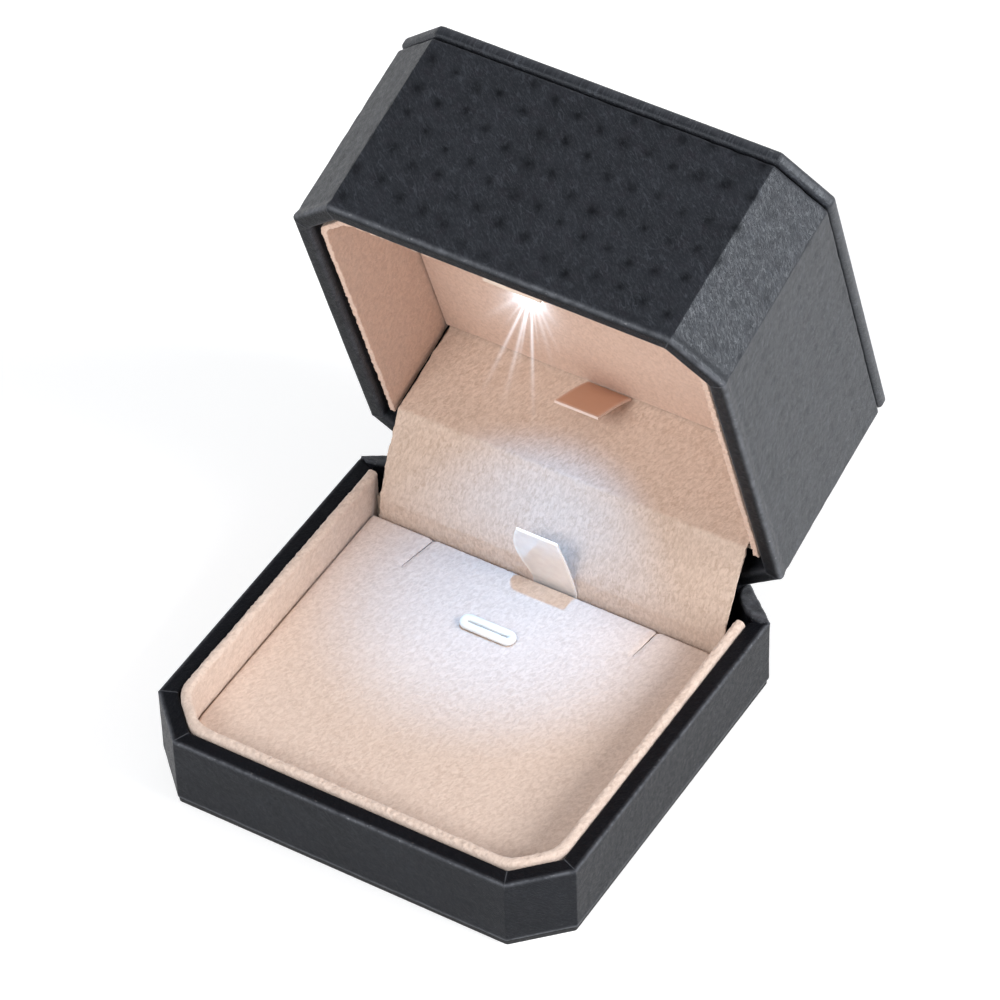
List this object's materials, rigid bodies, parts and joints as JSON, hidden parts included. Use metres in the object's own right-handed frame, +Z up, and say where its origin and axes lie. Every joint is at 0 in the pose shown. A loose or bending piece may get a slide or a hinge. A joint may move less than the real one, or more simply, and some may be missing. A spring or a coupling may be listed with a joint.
{
  "type": "ring box",
  "caption": "Hinged square ring box with chamfered corners, leatherette outside, velvet inside, slotted pad and a lamp in the lid.",
  "frame": {"origin": "centre of the underside, where the box rests", "axes": "+X to the right seen from the front, +Y to the hinge side, +Z up"},
  "size_m": [0.0902, 0.1284, 0.1141],
  "materials": {
    "leather": "black leatherette, ostrich grain on the lid front, fine grain elsewhere",
    "velvet": "peach velvet, short nap",
    "shell_plastic": "moulded, black",
    "black_card": "black paper face",
    "card": "grey-brown board",
    "hinge_steel": "nickel plated",
    "spring_steel": "drawn wire",
    "white_plastic": "semi-gloss white",
    "clear_film": "clear film, slightly frosted",
    "cream_plastic": "moulded",
    "circuit_board": "green solder mask",
    "diode": "white lamp",
    "lens": "clear",
    "cell_steel": "plain",
    "contact_brass": "stamped strip",
    "red_wire": "insulated wire",
    "black_wire": "insulated wire"
  },
  "bodies": {
    "base": {"base_shell": "shell_plastic", "base_wrap": "leather", "bottom_board": "black_card", "base_liner": "velvet", "base_rear_card": "card", "curtain": "velvet", "hinge_strip": "leather", "switch_striker": "shell_plastic", "hinge_base_leaf": "hinge_steel", "hinge_pin": "hinge_steel", "base_rivet_left": "hinge_steel", "base_rivet_right": "hinge_steel", "hinge_spring_left": "spring_steel", "hinge_spring_right": "spring_steel"},
    "insert": {"pad": "velvet", "pad_board": "card", "slot_insert": "white_plastic", "pad_tab": "clear_film"},
    "lid": {"lid_shell": "shell_plastic", "lid_wrap": "leather", "top_cover": "leather", "top_board": "card", "lid_liner": "velvet", "lid_rear_card": "card", "hinge_lid_leaf": "hinge_steel", "lid_rivet_left": "hinge_steel", "lid_rivet_right": "hinge_steel", "lamp_housing": "cream_plastic", "lamp_board": "circuit_board", "lamp_diode": "diode", "lamp_lens": "lens", "cell_holder": "shell_plastic", "cell_left": "cell_steel", "cell_right": "cell_steel", "cell_link": "contact_brass", "negative_contact": "contact_brass", "positive_contact": "contact_brass", "holder_screw_front": "hinge_steel", "holder_screw_rear": "hinge_steel", "switch_body": "shell_plastic", "switch_spring": "spring_steel", "lamp_wire": "red_wire", "switch_wire": "black_wire", "return_wire": "black_wire"},
    "plunger": {"switch_plunger": "white_plastic"},
    "ceiling": {"ceiling_panel": "velvet", "ceiling_board": "card", "ceiling_tab": "clear_film"}
  },
  "joints": [
    {"name": "lid_hinge", "type": "hinge", "parent": "base", "child": "lid", "pos_m": [0, 0.0425, 0.0179], "axis": [-1, 0, 0], "range_deg": [-72.5, 0], "deforming": ["curtain", "hinge_strip", "hinge_spring_left", "hinge_spring_right"]},
    {"name": "switch_push", "type": "slide", "parent": "lid", "child": "plunger", "axis": [0, 0.9537, 0.3007], "range_m": [0, 0.0015], "deforming": ["switch_spring"]},
    {"name": "pad_lift", "type": "slide", "parent": "base", "child": "insert", "axis": [0, 0, 1], "range_m": [0, 0.004], "deforming": ["pad_tab"]},
    {"name": "ceiling_drop", "type": "slide", "parent": "lid", "child": "ceiling", "axis": [0, -0.9537, -0.3007], "range_m": [0, 0.004], "deforming": ["ceiling_tab"]}
  ],
  "couplings": [
    {"joint": "switch_push", "follows": "lid_hinge", "m_per_rad": -0.00118}
  ]
}
